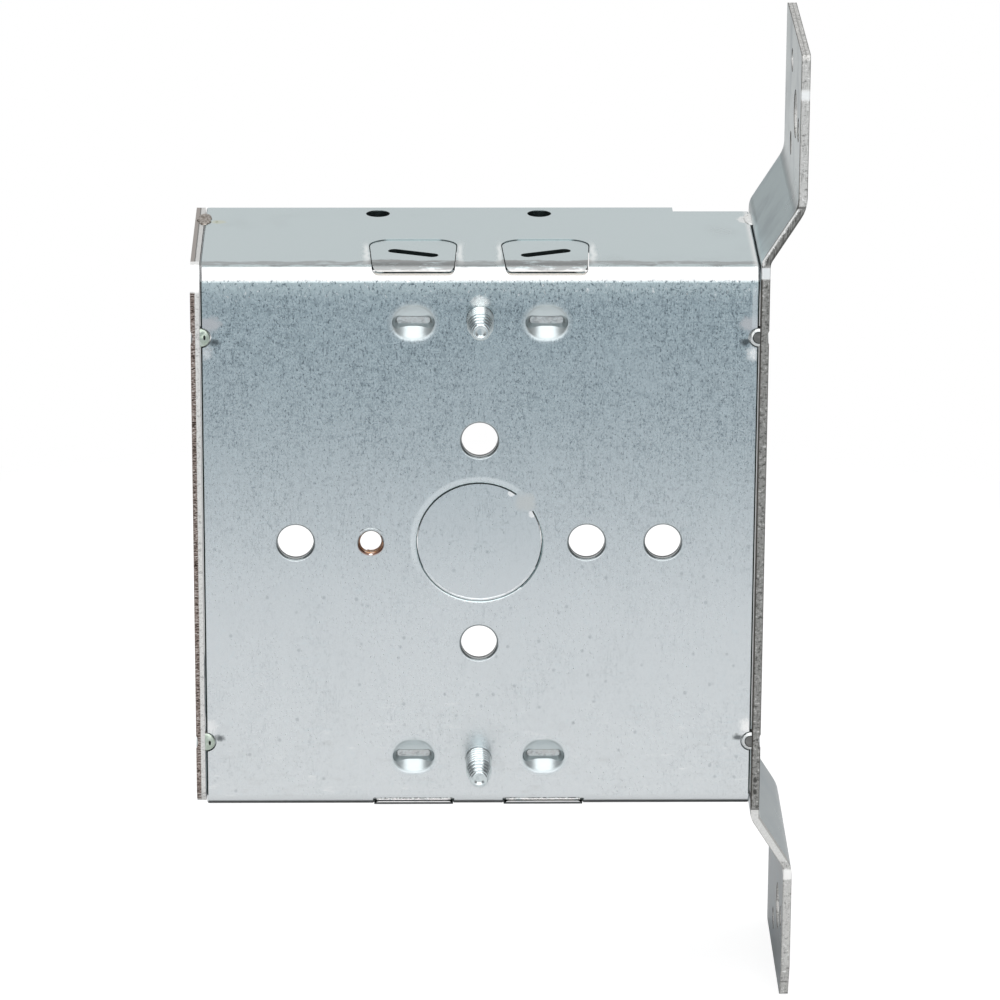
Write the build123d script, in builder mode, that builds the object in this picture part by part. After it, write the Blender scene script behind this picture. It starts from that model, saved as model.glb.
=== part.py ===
# Square welded steel outlet box with its back to -Y and its open front to +Y.
# One sheet folds into the back panel, top wall and bottom wall. A plain plate closes the left side.
# The right plate runs on above and below the box as two stepped-out ears that are nailed to a stud.
# Two screw-down clamps inside hold the cables that come in at the folds.
# Millimetres, +Z up. The origin is the centre of the back panel's outer face.

import os
from math import asin, degrees, sqrt

from build123d import *

# Shell
box_size = 101.6  # outside width and height
box_depth = 38.1  # back face to open front
sheet = 1.6  # thickness of every sheet piece
bend_inside = 1.0  # inside radius of each fold
seam = 0.2  # gap between the folded sheet's cut edges and the side plates
plate_corner = 4.5  # rounding of the left plate's back corners
edge_round = 0.4  # rollover on the cut edges beside the back panel

# Round knockout in the back panel
knockout_diameter = 22.2
knockout_line = 0.12  # width of the sheared line
knockout_rim = 0.35  # rounding of the panel around the line
knockout_tie = 4.2  # width of the tab that still holds the disc
knockout_tie_angle = 43.0  # place of the tab, up from the right

# Holes in the back panel, from its centre
fixing_hole = 6.4  # diameter
fixing_near = 19.1  # upper, lower and right inner holes
fixing_far = 32.65  # left and right outer holes
ground_hole = 4.2  # diameter of the tapped ground hole
ground_reach = 19.3  # to the left of the centre
hole_round = 0.4  # rollover around these holes

# Weld stakes that tie the side plates into the panel's edges
stake_inset = 12.7  # from the top and bottom of the box
stake_radius = 1.85  # notch in the panel's edge
stake_gap = 0.15  # around the stake, in its notch
stake_depth = 0.3  # how far the stake stays below the panel's face
stake_dimple = 0.45  # depth of the dent on the plate's outside
stake_dimple_radius = 2.6

# Cable line, shared by the pry-outs, the gripping dents and the clamps
cable_offset = 11.7  # either side of the clamp screw

# Pry-outs at the folds
pry_width = 16.0  # at the far end
pry_foot = 14.4  # at the fold
pry_reach = 18.1  # from the back face
pry_drop = 1.35  # below the wall's outer face, on the panel
pry_corner = 4.0
pry_foot_round = 1.2  # corners of the outline on the panel
pry_line = 0.2  # width of the sheared line
pry_sink = 0.15  # an upper slug lies this far inside the wall
pry_bend_inside = 3.2  # an upper slug's fold is pushed in to this radius
pry_low_bend_inside = 0.2  # a lower slug's fold stays sharp
pry_tie = 10.0  # width of the tab that still holds the slug
pry_slit_length = 9.4
pry_slit_width = 2.3
pry_slit_angle = 22.0
pry_slit_reach = 10.0  # from the back face to the slit's middle

# Nail holes in the top wall
nail_hole = 4.3  # diameter
nail_inset = 3.9  # from the open front
nail_places = (-18.0, 11.1)  # left and right of the middle

# Cover tabs in two opposite corners of the open front
cover_inset = 9.4  # screw from the outside of both walls
cover_hole = 3.5  # tapped, diameter
tab_width = 12.0
tab_length = 15.0  # from the plate's outer face
tab_corner = 4.5
tab_slack = 0.5  # play beside the tab
relief_depth = 2.5  # cut in the wall's front edge beside the tab

# Bracket ears
ear_step = 6.2  # outward step from the box
ear_reach = 38.4  # past the top and bottom of the box
upper_jog_gap = 0.8  # straight run past the box before the upper step
upper_jog_height = 9.9
lower_jog_gap = 1.8  # the same, at the lower step
lower_jog_height = 9.8
jog_radius = 2.4  # inside radius of the steps' bends beside the box
ear_bend_inside = 5.4  # inside radius of the steps' bends at the ears
ear_corner = 1.0
ear_cut_depth = 3.0  # corner taken off the lower ear, along Y
ear_cut_height = 7.0  # the same, along Z
ear_main_hole = 8.6  # diameter
ear_main_reach = 12.0  # from the back face
ear_main_inset = 13.7  # from the end of the ear
ear_nail_hole = 4.3  # diameter
ear_nail_places = ((4.4, 14.6), (21.8, 21.7), (22.4, 6.7))  # from the back face, from the end

# Clamp screws
clamp_inset = 9.2  # from the outside of the near wall
screw_diameter = 4.7
screw_fit = 0.05  # around the screw in the panel
screw_length = 18.0  # under the head
upper_screw_reach = 7.9  # past the back panel
lower_screw_reach = 9.6  # driven further in than the upper one
screw_taper = 4.0  # length of the tapered end
screw_tip = 3.2  # diameter at the end of the taper
screw_point = 0.3  # bevel at the tip
screw_head = 9.0  # diameter
screw_head_height = 2.8
screw_head_round = 1.2
driver_slot = 1.3  # width
driver_slot_depth = 1.4
driver_cross = 5.0  # length of the second slot

# Cable clamps
clamp_width = 12.0  # along Z
clamp_hole = 5.2  # diameter
clamp_seat = 0.05  # under the screw's head
clamp_land_margin = 1.3  # flat land past the head
clamp_slope = 1.8  # run of the rise from the land to a hump
clamp_rise = 2.0  # hump above the land
clamp_foot_run = 2.4  # run of the outer legs
clamp_foot_drop = 2.2  # feet below the land
clamp_bend = 0.8  # inside radius of its bends
clamp_corner = 1.5

# Gripping dents in the panel, opposite the clamps
dent_inset = 9.9  # from the outside of the near wall
dent_length = 7.3  # between its sharp edges, before the rim is rounded
dent_width = 6.0
dent_depth = 1.15
dent_rim = 1.5  # rounding where the dent meets the panel
dent_bar_length = 5.8  # flat bar pressed into its bottom
dent_bar_width = 1.2
dent_bar_corner = 0.5
dent_bar_depth = 1.65  # below the panel's face
dent_bar_draft = 28.0  # slope of the bar's sides, degrees

# Weld beads at the front ends of the wall seams
bead_length = 7.0
bead_width = 2.4
bead_height = 0.5
bead_inset = 7.6  # bead's middle from the open front

# Places that follow from the sizes above
half = box_size / 2
plate_inner = half - sheet
wrap_half = plate_inner - seam
bend_outside = bend_inside + sheet
ear_bend_outside = ear_bend_inside + sheet
knockout_radius = knockout_diameter / 2
stake_z = half - stake_inset
clamp_z = half - clamp_inset
dent_z = half - dent_inset
cover_place = half - cover_inset
upper_jog = half + upper_jog_gap
lower_jog = half + lower_jog_gap
ear_end = half + ear_reach
ear_outer = half + ear_step
through = 4 * sheet  # long enough to cut any one wall

os.makedirs("parts", exist_ok=True)


# Section of the folded sheet, drawn this far inside the box's outline
def fold_section(inset, inside_radius):
    with BuildSketch(Plane.YZ) as section:
        with BuildLine():
            FilletPolyline(
                (box_depth, half - inset),
                (inset, half - inset),
                (inset, inset - half),
                (box_depth, inset - half),
                radius=inside_radius + sheet,
            )
            offset(amount=sheet, side=Side.LEFT)
        make_face()
    return section.sketch


# Blocks with the outline of the upper pry-outs, drawn in by a sheared line
def pry_blocks(line, wall_start):
    with BuildSketch(Plane.XY.offset(half + sheet)) as outline:
        with BuildLine():
            Polyline(
                (cable_offset - pry_foot / 2 + line, -sheet),
                (cable_offset + pry_foot / 2 - line, -sheet),
                (cable_offset + pry_width / 2 - line, pry_reach - line),
                (cable_offset - pry_width / 2 + line, pry_reach - line),
                close=True,
            )
        make_face()
        fillet(outline.vertices().group_by(Axis.Y)[-1], pry_corner - line)
    # Through the wall, from where it starts
    with BuildPart() as wall_part:
        extrude(outline.sketch, amount=-through)
        split(bisect_by=Plane.XZ.offset(-wall_start), keep=Keep.BOTTOM)
    with BuildPart() as blocks:
        extrude(outline.sketch, amount=line - sheet - pry_drop)
        foot = blocks.edges().group_by(Axis.Z)[0]
        fillet(foot - foot.group_by(Axis.Y)[0], pry_foot_round - line)
        add(wall_part.part)
        mirror(about=Plane.YZ)
    return blocks.part


# The four gripping dents, from half the cross-section of one
def dent_bodies(half_section):
    run = dent_length - dent_width
    with BuildPart() as bodies:
        for end in (-1, 1):
            hub = (cable_offset + end * run / 2, 0, dent_z)
            with BuildSketch(Plane(hub, x_dir=(1, 0, 0), z_dir=(0, 0, 1))):
                add(half_section)
            revolve(axis=Axis(hub, (0, 1, 0)))
        with BuildSketch(Plane(hub, x_dir=(0, 0, 1), z_dir=(-1, 0, 0))):
            add(half_section)
            mirror(about=Plane.YZ)
        extrude(amount=run)
        mirror(about=Plane.YZ)
        mirror(about=Plane.XY)
    return bodies.part


# Slugs with their pry slits, each still held by a tab at the far end
with BuildPart() as upper_slugs:
    extrude(fold_section(pry_sink, pry_bend_inside), amount=wrap_half, both=True)
    add(pry_blocks(pry_line, pry_sink + pry_bend_inside + sheet), mode=Mode.INTERSECT)
with BuildPart() as lower_slugs:
    extrude(fold_section(0, pry_low_bend_inside), amount=wrap_half, both=True)
    add(pry_blocks(pry_line, pry_low_bend_inside + sheet), mode=Mode.INTERSECT)
with BuildPart() as pry_slugs:
    add(lower_slugs.part)
    mirror(about=Plane.XY, mode=Mode.REPLACE)
    add(upper_slugs.part)
    with BuildSketch(Plane.XY):
        with Locations((cable_offset, pry_slit_reach)):
            SlotOverall(pry_slit_length, pry_slit_width, rotation=pry_slit_angle)
        mirror(about=Plane.YZ)
    extrude(amount=box_size, both=True, mode=Mode.SUBTRACT)
    for wall in (-1, 1):
        with Locations((0, pry_reach, wall * (half - (sheet + pry_sink) / 2))):
            with GridLocations(2 * cable_offset, 0, 2, 1):
                Box(pry_tie, 4 * pry_line, sheet - pry_sink)

# Hollow of a dent: a round bowl that runs out into the panel over a rounded rim
bowl_radius = (dent_width**2 / 4 + dent_depth**2) / (2 * dent_depth)
bowl_rise = bowl_radius - dent_depth  # its centre in front of the panel
dent_edge = sqrt((bowl_radius + dent_rim) ** 2 - (bowl_rise + dent_rim) ** 2)
rim_share = bowl_radius / (bowl_radius + dent_rim)
rim_start = (dent_edge * rim_share, (bowl_rise + dent_rim) * rim_share - bowl_rise)
with BuildSketch() as dent_hollow:
    with BuildLine():
        TangentArc((0, dent_depth), rim_start, tangent=(1, 0))
        TangentArc((dent_edge, 0), rim_start, tangent=(-1, 0))
        Polyline((dent_edge, 0), (dent_edge, -sheet), (0, -sheet), (0, dent_depth))
    make_face()

# Crown of a dent on the panel's inside, a sheet's thickness further in
crown_edge = sqrt((bowl_radius + sheet) ** 2 - (bowl_rise + sheet) ** 2)
with BuildSketch() as dent_crown:
    with BuildLine():
        TangentArc((0, dent_depth + sheet), (crown_edge, sheet), tangent=(1, 0))
        Polyline((crown_edge, sheet), (crown_edge, sheet / 2), (0, sheet / 2), (0, dent_depth + sheet))
    make_face()

# Floors of the bars pressed into the dents
with BuildSketch(Plane.XZ.offset(-dent_bar_depth)) as dent_bars:
    with GridLocations(2 * cable_offset, 2 * dent_z, 2, 2):
        RectangleRounded(dent_bar_length, dent_bar_width, dent_bar_corner)

# Folded back panel, top wall and bottom wall
dent_crowns = dent_bodies(dent_crown.sketch)
dent_hollows = dent_bodies(dent_hollow.sketch)
pry_windows = pry_blocks(0, sheet)
tie_turn = 2 * degrees(asin(knockout_tie / knockout_diameter))
with BuildPart() as back_wrap:
    extrude(fold_section(0, bend_inside), amount=wrap_half, both=True)
    fillet(back_wrap.edges().filter_by(Axis.Z).group_by(Axis.Y)[0], edge_round)
    # Fixing holes and ground hole
    with BuildSketch(Plane.XZ):
        with GridLocations(2 * fixing_far, 0, 2, 1):
            Circle(fixing_hole / 2)
        with Locations((fixing_near, 0), (0, fixing_near), (0, -fixing_near)):
            Circle(fixing_hole / 2)
        with Locations((-ground_reach, 0)):
            Circle(ground_hole / 2)
    extrude(amount=through, both=True, mode=Mode.SUBTRACT)
    fillet(back_wrap.edges().filter_by(GeomType.CIRCLE).group_by(Axis.Y)[0], hole_round)
    # Gripping dents
    add(dent_crowns)
    extrude(dent_bars.sketch, amount=-sheet)
    add(dent_hollows, mode=Mode.SUBTRACT)
    extrude(dent_bars.sketch, amount=dent_bar_depth, taper=-dent_bar_draft, mode=Mode.SUBTRACT)
    # Clamp screw holes and stake notches
    with BuildSketch(Plane.XZ):
        with GridLocations(0, 2 * clamp_z, 1, 2):
            Circle(screw_diameter / 2 + screw_fit)
        with GridLocations(2 * wrap_half, 2 * stake_z, 2, 2):
            Circle(stake_radius)
    extrude(amount=through, both=True, mode=Mode.SUBTRACT)
    # Knockout's sheared line, all round except at its tab
    with BuildSketch(Plane.XY.rotated((0, tie_turn / 2 - knockout_tie_angle, 0))):
        with BuildLine():
            Polyline(
                (knockout_radius, knockout_rim),
                (knockout_radius, through),
                (knockout_radius - knockout_line, through),
                (knockout_radius - knockout_line, -through),
                (knockout_radius + knockout_rim, -through),
                (knockout_radius + knockout_rim, 0),
            )
            TangentArc(
                (knockout_radius + knockout_rim, 0), (knockout_radius, knockout_rim), tangent=(-1, 0)
            )
        make_face()
    revolve(axis=Axis.Y, revolution_arc=360 - tie_turn, mode=Mode.SUBTRACT)
    # Pry-outs
    add([pry_windows, mirror(pry_windows, about=Plane.XY, mode=Mode.PRIVATE)], mode=Mode.SUBTRACT)
    add(pry_slugs.part)
    # Nail holes in the top wall
    with BuildSketch(Plane.XY.offset(half)):
        with Locations(*[(place, box_depth - nail_inset) for place in nail_places]):
            Circle(nail_hole / 2)
    extrude(amount=-through, mode=Mode.SUBTRACT)
    # Reliefs in the walls' front edges, one beside each cover tab
    for side in (-1, 1):
        with Locations((side * half, box_depth, side * half)):
            Box(2 * (tab_length + tab_slack), 2 * relief_depth, through, mode=Mode.SUBTRACT)
back_wrap.part.label = "back_wrap"
export_step(back_wrap.part, "parts/back_wrap.step")

# Cover tab of the right plate, folded in from its front edge near the top
with BuildPart() as cover_tab:
    with BuildSketch(Plane.XY.offset(cover_place - tab_width / 2)):
        with BuildLine():
            FilletPolyline(
                (half, box_depth - bend_outside - sheet),
                (half, box_depth),
                (half - tab_length, box_depth),
                radius=bend_outside,
            )
            offset(amount=sheet, side=Side.LEFT)
        make_face()
    extrude(amount=tab_width)
    fillet(cover_tab.edges().filter_by(Axis.Y).group_by(Axis.X)[0], tab_corner)
    with BuildSketch(Plane.XZ.offset(-box_depth)):
        with Locations((cover_place, cover_place)):
            Circle(cover_hole / 2)
    extrude(amount=through, mode=Mode.SUBTRACT)

# Gap in that plate's front edge, where the tab folds
with BuildPart() as tab_gap:
    with Locations((half, box_depth, cover_place)):
        Box(4 * sheet, 2 * bend_outside, tab_width + 2 * tab_slack)

# Stakes on that plate's inside
with BuildPart() as stakes:
    with BuildSketch(Plane.XZ.offset(-stake_depth)):
        with GridLocations(0, 2 * stake_z, 1, 2):
            with Locations((wrap_half, 0)):
                Circle(stake_radius - stake_gap)
            with Locations((plate_inner + sheet / 2, 0)):
                Rectangle(
                    stake_radius, 2 * stake_radius, align=(Align.MIN, Align.CENTER), mode=Mode.SUBTRACT
                )
    extrude(amount=stake_depth - sheet)

# Dents on its outside, behind the stakes
with BuildPart() as stake_dimples:
    for end in (-1, 1):
        with Locations((half + stake_dimple_radius - stake_dimple, sheet / 2, end * stake_z)):
            Sphere(stake_dimple_radius)

# Right side plate with its two mounting ears
with BuildPart() as bracket_side_plate:
    with BuildSketch(Plane.XZ):
        with BuildLine():
            FilletPolyline(
                (ear_outer, -ear_end),
                (ear_outer, -lower_jog - lower_jog_height),
                (half, -lower_jog),
                (half, upper_jog),
                (ear_outer, upper_jog + upper_jog_height),
                (ear_outer, ear_end),
                radius=[ear_bend_outside, jog_radius, jog_radius, ear_bend_outside],
            )
            offset(amount=sheet, side=Side.LEFT)
        make_face()
    extrude(amount=-box_depth)
    ear_edges = bracket_side_plate.edges().filter_by(Axis.X).group_by(Axis.Z)
    fillet(ear_edges[0] + ear_edges[-1], ear_corner)
    # Corner off the lower ear, and the nail holes in both
    with BuildSketch(Plane.YZ.offset(ear_outer)):
        Polygon(
            (0, -ear_end),
            (ear_cut_depth, -ear_end),
            (0, ear_cut_height - ear_end),
            align=None,
        )
        for end in (-1, 1):
            with Locations((ear_main_reach, end * (ear_end - ear_main_inset))):
                Circle(ear_main_hole / 2)
            with Locations(*[(reach, end * (ear_end - inset)) for reach, inset in ear_nail_places]):
                Circle(ear_nail_hole / 2)
    extrude(amount=2 * sheet, both=True, mode=Mode.SUBTRACT)
    add(stake_dimples.part, mode=Mode.SUBTRACT)
    add(stakes.part)
    add(tab_gap.part, mode=Mode.SUBTRACT)
    add(cover_tab.part)
bracket_side_plate.part.label = "bracket_side_plate"
export_step(bracket_side_plate.part, "parts/bracket_side_plate.step")

# Left side plate: its stakes and cover tab are the right plate's, turned half round about Y
turned = (0, 180, 0)
with BuildPart() as left_side_plate:
    with BuildSketch(Plane.YZ.offset(-half)) as outline:
        with Locations((box_depth / 2, 0)):
            Rectangle(box_depth, box_size)
        fillet(outline.vertices().group_by(Axis.X)[0], plate_corner)
    extrude(amount=sheet)
    add(stake_dimples.part, rotation=turned, mode=Mode.SUBTRACT)
    add(stakes.part, rotation=turned)
    add(tab_gap.part, rotation=turned, mode=Mode.SUBTRACT)
    add(cover_tab.part, rotation=turned)
left_side_plate.part.label = "left_side_plate"
export_step(left_side_plate.part, "parts/left_side_plate.step")

# Weld beads along the front ends of the wall seams
bead_round = ((bead_width / 2) ** 2 + bead_height**2) / (2 * bead_height)
bead_run = bead_length - bead_width
with BuildPart() as corner_welds:
    for side in (-1, 1):
        middle = (side * (plate_inner - seam / 2), box_depth - bead_inset, half + bead_height - bead_round)
        with Locations(middle):
            Cylinder(bead_round, bead_run, rotation=(90, 0, 0))
            with GridLocations(0, bead_run, 1, 2):
                Sphere(bead_round)
    split(bisect_by=Plane.XY.offset(half), keep=Keep.TOP)
    # The right plate stands up beside its bead
    with Locations((plate_inner, box_depth - bead_inset, half)):
        Box(
            bead_width,
            2 * bead_length,
            2 * bead_height,
            align=(Align.MIN, Align.CENTER, Align.MIN),
            mode=Mode.SUBTRACT,
        )
    mirror(about=Plane.XY)
corner_welds.part.label = "corner_welds"
export_step(corner_welds.part, "parts/corner_welds.step")

# Half widths of a cable clamp: its land under the screw, a hump over each cable, its feet
land_half = screw_head / 2 + clamp_land_margin
hump_near = land_half + clamp_slope
hump_far = 2 * cable_offset - hump_near
foot_half = hump_far + clamp_foot_run
outer_bend = clamp_bend + sheet

for name, wall, reach in (("upper", 1, upper_screw_reach), ("lower", -1, lower_screw_reach)):
    head_seat = screw_length - reach
    clamp_land = head_seat - clamp_seat - sheet
    clamp_hump = clamp_land + clamp_rise
    clamp_foot = clamp_land - clamp_foot_drop
    # Cable clamp, pressed from strip
    with BuildPart() as cable_clamp:
        with BuildSketch(Plane.XY.offset(wall * clamp_z - clamp_width / 2)):
            with BuildLine():
                FilletPolyline(
                    (-foot_half, clamp_foot),
                    (-hump_far, clamp_hump),
                    (-hump_near, clamp_hump),
                    (-land_half, clamp_land),
                    (land_half, clamp_land),
                    (hump_near, clamp_hump),
                    (hump_far, clamp_hump),
                    (foot_half, clamp_foot),
                    radius=[clamp_bend, clamp_bend, outer_bend, outer_bend, clamp_bend, clamp_bend],
                )
                offset(amount=sheet, side=Side.LEFT)
            make_face()
        extrude(amount=clamp_width)
        ends = cable_clamp.faces().sort_by(Axis.X)
        corners = (ends[0].edges() + ends[-1].edges()).filter_by(Axis.Z, reverse=True)
        fillet(corners, clamp_corner)
        with BuildSketch(Plane.XZ):
            with Locations((0, wall * clamp_z)):
                Circle(clamp_hole / 2)
        extrude(amount=-2 * head_seat, mode=Mode.SUBTRACT)
    cable_clamp.part.label = f"{name}_cable_clamp"
    export_step(cable_clamp.part, f"parts/{name}_cable_clamp.step")

    # Clamp screw, driven from inside the box, its tip out past the back panel
    middle = (0, 0, wall * clamp_z)
    with BuildPart() as clamp_screw:
        with BuildSketch(Plane(middle, x_dir=(1, 0, 0), z_dir=(0, 0, 1))):
            with BuildLine():
                Polyline(
                    (0, -reach),
                    (screw_tip / 2 - screw_point, -reach),
                    (screw_tip / 2, screw_point - reach),
                    (screw_diameter / 2, screw_taper - reach),
                    (screw_diameter / 2, head_seat),
                    (0, head_seat),
                    close=True,
                )
            make_face()
        revolve(axis=Axis(middle, (0, 1, 0)))
        with BuildSketch(Plane.XZ.offset(-head_seat)):
            with Locations((0, wall * clamp_z)):
                Circle(screw_head / 2)
        extrude(amount=-screw_head_height)
        fillet(clamp_screw.edges().sort_by(Axis.Y)[-1], screw_head_round)
        with BuildSketch(Plane.XZ.offset(-head_seat - screw_head_height)):
            with Locations((0, wall * clamp_z)):
                Rectangle(screw_head, driver_slot)
                Rectangle(driver_slot, driver_cross)
        extrude(amount=driver_slot_depth, mode=Mode.SUBTRACT)
    clamp_screw.part.label = f"{name}_clamp_screw"
    export_step(clamp_screw.part, f"parts/{name}_clamp_screw.step")
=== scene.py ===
import math
from types import SimpleNamespace

import bmesh
import bpy
from mathutils import Matrix, Vector, noise


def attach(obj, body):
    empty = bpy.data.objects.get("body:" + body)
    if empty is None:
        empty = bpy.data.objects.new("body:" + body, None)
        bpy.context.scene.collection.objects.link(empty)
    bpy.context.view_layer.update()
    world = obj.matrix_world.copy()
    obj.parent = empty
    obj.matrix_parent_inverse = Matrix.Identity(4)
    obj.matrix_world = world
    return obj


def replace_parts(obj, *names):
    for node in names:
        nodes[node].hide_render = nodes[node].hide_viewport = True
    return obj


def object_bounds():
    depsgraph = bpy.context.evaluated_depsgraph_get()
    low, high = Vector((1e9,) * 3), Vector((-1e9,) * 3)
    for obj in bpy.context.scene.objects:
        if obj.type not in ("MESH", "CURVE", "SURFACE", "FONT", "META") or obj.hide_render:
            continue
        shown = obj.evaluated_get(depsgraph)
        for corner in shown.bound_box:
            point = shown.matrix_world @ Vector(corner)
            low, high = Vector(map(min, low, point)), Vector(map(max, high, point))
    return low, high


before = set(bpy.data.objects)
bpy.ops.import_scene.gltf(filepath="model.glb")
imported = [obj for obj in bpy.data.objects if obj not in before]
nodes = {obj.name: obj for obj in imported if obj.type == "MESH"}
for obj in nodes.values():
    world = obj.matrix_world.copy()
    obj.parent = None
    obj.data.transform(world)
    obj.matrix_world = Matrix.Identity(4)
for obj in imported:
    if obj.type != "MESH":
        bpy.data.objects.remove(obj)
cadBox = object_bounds()
scene = bpy.context.scene
mm = 0.001
print("frame loaded,", len(nodes), "nodes")


class Wire:  # one socket of a node tree, so that shader maths reads as sums
    def __init__(self, tree, socket=None):
        self.tree = tree
        self.socket = socket

    def add(self, kind, settings=None, sockets=None, out=0):  # type, settings first, then sockets
        node = self.tree.nodes.new(kind)
        for key, value in (settings or {}).items():
            setattr(node, key, value)
        for key, value in (sockets or {}).items():
            if isinstance(value, Wire):
                self.tree.links.new(value.socket, node.inputs[key])
            else:
                node.inputs[key].default_value = value
        return Wire(self.tree, node.outputs[out] if node.outputs else None)

    def maths(self, operation, *values):
        return self.add("ShaderNodeMath", {"operation": operation}, dict(enumerate(values)))

    def __add__(self, other):
        return self.maths("ADD", self, other)

    def __radd__(self, other):
        return self.maths("ADD", other, self)

    def __sub__(self, other):
        return self.maths("SUBTRACT", self, other)

    def __rsub__(self, other):
        return self.maths("SUBTRACT", other, self)

    def __mul__(self, other):
        return self.maths("MULTIPLY", self, other)

    def __rmul__(self, other):
        return self.maths("MULTIPLY", other, self)

    def __abs__(self):
        return self.maths("ABSOLUTE", self)

    def high(self, other):
        return self.maths("MAXIMUM", self, other)

    def fade(self, start, end):  # 0 at start, 1 at end, smooth between, either way round
        return self.add("ShaderNodeMapRange", {"interpolation_type": "SMOOTHSTEP"},
                        {"Value": self, "From Min": start, "From Max": end})

    def slide(self, start, end):  # the same along a straight line
        return self.add("ShaderNodeMapRange", None, {"Value": self, "From Min": start, "From Max": end})

    def within(self, low, high, soft):  # 1 between low and high
        return self.fade(low - soft, low + soft) * self.fade(high + soft, high - soft)

    def stretch(self, *scales):  # a vector times a vector
        return self.add("ShaderNodeVectorMath", {"operation": "MULTIPLY"}, {0: self, 1: scales})

    def shift(self, *offset):
        return self.add("ShaderNodeVectorMath", {"operation": "ADD"}, {0: self, 1: offset})

    def reach(self):  # length of a vector
        return self.add("ShaderNodeVectorMath", {"operation": "LENGTH"}, {0: self}, "Value")

    def spot(self, centre, size):  # distance from a centre, 1 at the given half sizes
        near = self.shift(*[-value for value in centre])
        return near.stretch(*[1 / value if value else 0 for value in size]).reach()

    def axes(self):
        return [self.add("ShaderNodeSeparateXYZ", None, {0: self}, name) for name in "XYZ"]

    def grain(self, scale, detail=2.0, rough=0.5, twist=0.0):  # noise, 0 to 1
        return self.add("ShaderNodeTexNoise", None, {
            "Vector": self, "Scale": scale, "Detail": detail, "Roughness": rough, "Distortion": twist})

    def dots(self, size):  # 1 in the middle of scattered round spots
        spots = {"Vector": self, "Scale": 1.0, "Randomness": 1.0}
        return self.add("ShaderNodeTexVoronoi", None, spots, "Distance").fade(size, size * 0.4)

    def tint(self, factor, colour):  # this colour, mixed towards another
        return self.add("ShaderNodeMix", {"data_type": "RGBA"}, {0: factor, 6: self, 7: colour}, 2)


def rgb(red, green, blue):
    return (red, green, blue, 1.0)


def newMaterial(name):
    material = bpy.data.materials.new(name)
    material.use_nodes = True
    tree = material.node_tree
    tree.nodes.clear()
    return material, Wire(tree)


def finishMaterial(start, shader):
    start.add("ShaderNodeOutputMaterial", None, {"Surface": shader})


def placeInMillimetres(start):
    return start.add("ShaderNodeTexCoord", None, None, "Object").stretch(1000, 1000, 1000)


def facing(start):  # the surface's direction, as three numbers
    return start.add("ShaderNodeNewGeometry", None, None, "Normal").axes()


def mixed(start, factor, first, second):
    return start.add("ShaderNodeMix", {"data_type": "RGBA"}, {0: factor, 6: first, 7: second}, 2)


def metal(start, colour, rough, bump, bumpHeight, metallic=1.0):
    normal = start.add("ShaderNodeBump", None, {"Strength": 1.0, "Distance": bumpHeight * mm, "Height": bump})
    return start.add("ShaderNodeBsdfPrincipled", None, {
        "Base Color": colour, "Roughness": rough, "Metallic": metallic, "Normal": normal})


# camera, fitted to the photograph's vanishing lines
camera = {
    "place": (-14.043, -938.428, 335.479),
    "aim": (3.637, 0.0, 7.962),
    "roll": 0.27993,
    "lens": 201.83,
    "sensor": 36.0,
}


def makeCamera():
    data = bpy.data.cameras.new("camera")
    data.lens = camera["lens"]
    data.sensor_width = camera["sensor"]
    view = bpy.data.objects.new("camera", data)
    scene.collection.objects.link(view)
    place = Vector(camera["place"]) * mm
    look = Vector(camera["aim"]) * mm - place
    turn = look.to_track_quat("-Z", "Y").to_matrix().to_4x4()
    roll = Matrix.Rotation(math.radians(camera["roll"]), 4, "Z")
    view.matrix_world = Matrix.Translation(place) @ turn @ roll
    scene.camera = view


makeCamera()
print("camera placed")

# studio: pale floor, white world, soft boxes overhead and in front
studio = {
    "floorGap": 0.3,  # below the lower ear
    "floorReach": 6.0,
    "floorNear": rgb(0.96, 0.96, 0.96),
    "floorFar": rgb(0.55, 0.612, 0.66),
    "floorFade": (-0.08, -0.42),
    "floorEnd": rgb(0.95, 0.95, 0.95),
    "endFade": (-0.58, -0.95),
    "floorSide": rgb(0.66, 0.66, 0.66),
    "sideFade": (0.14, 0.42),
    "floorGlow": 0.86,
    "floorShadow": 0.3,
    "shadowReach": (0.26, 0.32),
    "boxes": {
        "overheadBox": {"size": (1.0, 1.3), "place": (0, -0.20, 0.80), "tilt": 0, "radiance": 1.58},
        "frontBox": {"size": (1.6, 1.4), "place": (0, -1.45, 0.62), "tilt": 90, "radiance": 1.55},
    },
    "worldLevel": 0.3,
    "mirrorLow": 0.35,
    "mirrorHigh": 0.80,
    "mirrorAlong": (0.35, 0.85),
    "mirrorSides": 0.45,
    "mirrorAcross": (0.4, 0.75),
}


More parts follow.
